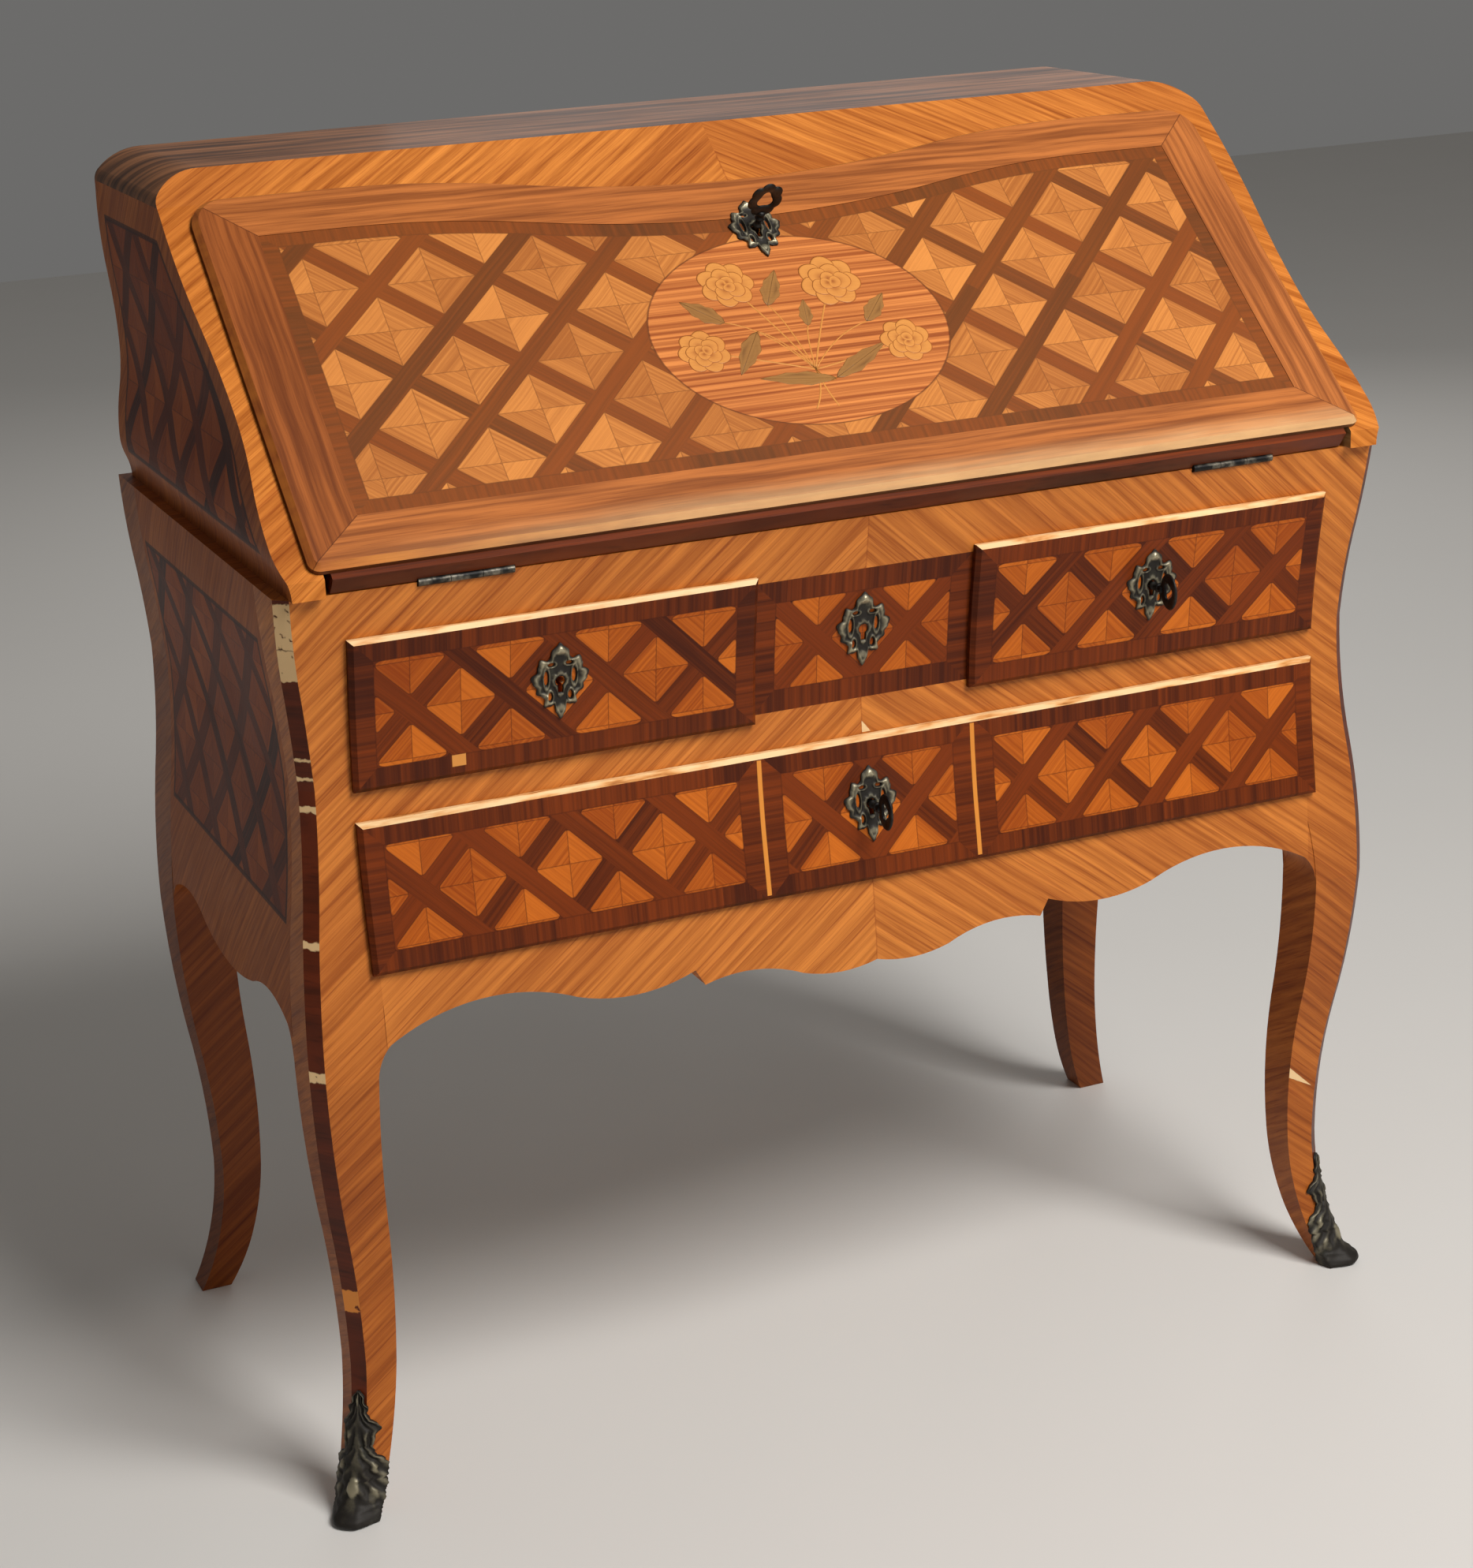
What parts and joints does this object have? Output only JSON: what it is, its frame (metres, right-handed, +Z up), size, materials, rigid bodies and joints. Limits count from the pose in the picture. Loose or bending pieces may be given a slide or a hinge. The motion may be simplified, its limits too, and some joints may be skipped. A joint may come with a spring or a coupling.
{
  "type": "slope-front writing desk",
  "caption": "Slope-front writing desk on curved cabriole legs: a hinged fall over a fitted interior, lipped drawers with locks and keys, shaped apron and bronze shoes.",
  "frame": {"origin": "floor level, midway between the outermost sides and between the foremost key and the rear feet", "axes": "+Z up, -Y towards the writer (front), +X to the writer's right"},
  "size_m": [0.894, 0.4847, 0.95],
  "materials": {
    "veneer": "diagonal tulipwood veneer, french polished",
    "parquetry": "lozenge parquetry, french polished",
    "walnut": "plain brown veneer, polished",
    "carcase_wood": "oak, waxed or left plain",
    "bronze": "cast bronze with dark patina",
    "steel": "darkened steel",
    "leather": "dark green writing leather"
  },
  "bodies": {
    "case": {"leg_front_right": "veneer", "leg_rear_right": "veneer", "side_panel_right": "parquetry", "upper_side_right": "veneer", "shoe_front_right": "bronze", "leg_front_left": "veneer", "leg_rear_left": "veneer", "side_panel_left": "parquetry", "upper_side_left": "veneer", "shoe_front_left": "bronze", "top_rail": "veneer", "middle_rail": "veneer", "front_apron": "veneer", "centre_panel": "parquetry", "centre_plate": "bronze", "dust_board": "carcase_wood", "bottom_board": "carcase_wood", "writing_deck": "carcase_wood", "drawer_guides": "carcase_wood", "drawer_dividers": "carcase_wood", "lower_back": "carcase_wood", "top_board": "walnut", "top_fascia": "veneer", "upper_back": "carcase_wood", "pigeonhole_shelf": "carcase_wood", "pigeonhole_partitions": "carcase_wood", "hinge_rail_leaves": "steel", "hinge_pins": "steel"},
    "fall": {"fall_core": "carcase_wood", "fall_frame": "veneer", "fall_field": "parquetry", "fall_leather": "leather", "fall_lock": "steel", "fall_plate": "bronze", "hinge_fall_leaves": "steel"},
    "fall_bolt": {"fall_bolt": "steel"},
    "fall_key": {"fall_key": "steel"},
    "upper_left_drawer": {"upper_left_drawer_front": "parquetry", "upper_left_drawer_box": "carcase_wood", "upper_left_drawer_lock": "steel", "upper_left_drawer_plate": "bronze"},
    "upper_left_drawer_bolt": {"upper_left_drawer_bolt": "steel"},
    "upper_right_drawer": {"upper_right_drawer_front": "parquetry", "upper_right_drawer_box": "carcase_wood", "upper_right_drawer_lock": "steel", "upper_right_drawer_plate": "bronze"},
    "upper_right_drawer_bolt": {"upper_right_drawer_bolt": "steel"},
    "upper_right_drawer_key": {"upper_right_drawer_key": "steel"},
    "lower_drawer": {"lower_drawer_front": "parquetry", "lower_drawer_box": "carcase_wood", "lower_drawer_lock": "steel", "lower_drawer_plate": "bronze"},
    "lower_drawer_bolt": {"lower_drawer_bolt": "steel"},
    "lower_drawer_key": {"lower_drawer_key": "steel"},
    "small_drawer_left": {"small_drawer_front_left": "walnut", "small_drawer_box_left": "carcase_wood", "small_drawer_knob_left": "bronze"},
    "small_drawer_right": {"small_drawer_front_right": "walnut", "small_drawer_box_right": "carcase_wood", "small_drawer_knob_right": "bronze"}
  },
  "joints": [
    {"name": "fall_hinge", "type": "hinge", "parent": "case", "child": "fall", "pos_m": [0, -0.214, 0.7], "axis": [1, 0, 0], "range_deg": [0, 139.75]},
    {"name": "fall_bolt_slide", "type": "slide", "parent": "fall", "child": "fall_bolt", "axis": [0, 0.7632, 0.6461], "range_m": [0, 0.008]},
    {"name": "fall_key_turn", "type": "hinge", "parent": "fall", "child": "fall_key", "pos_m": [0, -0.03119, 0.87441], "axis": [0, -0.6461, 0.7632], "range_deg": [0, 90]},
    {"name": "upper_left_drawer_slide", "type": "slide", "parent": "case", "child": "upper_left_drawer", "axis": [0, -1, 0], "range_m": [0, 0.26]},
    {"name": "upper_left_drawer_bolt_slide", "type": "slide", "parent": "upper_left_drawer", "child": "upper_left_drawer_bolt", "axis": [0, 0, 1], "range_m": [0, 0.008]},
    {"name": "upper_right_drawer_slide", "type": "slide", "parent": "case", "child": "upper_right_drawer", "axis": [0, -1, 0], "range_m": [0, 0.26]},
    {"name": "upper_right_drawer_bolt_slide", "type": "slide", "parent": "upper_right_drawer", "child": "upper_right_drawer_bolt", "axis": [0, 0, 1], "range_m": [0, 0.008]},
    {"name": "upper_right_drawer_key_turn", "type": "hinge", "parent": "upper_right_drawer", "child": "upper_right_drawer_key", "pos_m": [0.23475, -0.168, 0.6144], "axis": [0, -1, 0], "range_deg": [0, 180]},
    {"name": "lower_drawer_slide", "type": "slide", "parent": "case", "child": "lower_drawer", "axis": [0, -1, 0], "range_m": [0, 0.28]},
    {"name": "lower_drawer_bolt_slide", "type": "slide", "parent": "lower_drawer", "child": "lower_drawer_bolt", "axis": [0, 0, 1], "range_m": [0, 0.008]},
    {"name": "lower_drawer_key_turn", "type": "hinge", "parent": "lower_drawer", "child": "lower_drawer_key", "pos_m": [0, -0.168, 0.4834], "axis": [0, -1, 0], "range_deg": [0, 180]},
    {"name": "small_drawer_left_slide", "type": "slide", "parent": "case", "child": "small_drawer_left", "axis": [0, -1, 0], "range_m": [0, 0.12]},
    {"name": "small_drawer_right_slide", "type": "slide", "parent": "case", "child": "small_drawer_right", "axis": [0, -1, 0], "range_m": [0, 0.12]}
  ],
  "couplings": [
    {"joint": "fall_key_turn", "follows": "fall_bolt_slide", "rad_per_m": 196.35},
    {"joint": "upper_right_drawer_key_turn", "follows": "upper_right_drawer_bolt_slide", "rad_per_m": 392.7},
    {"joint": "lower_drawer_key_turn", "follows": "lower_drawer_bolt_slide", "rad_per_m": 392.7}
  ]
}
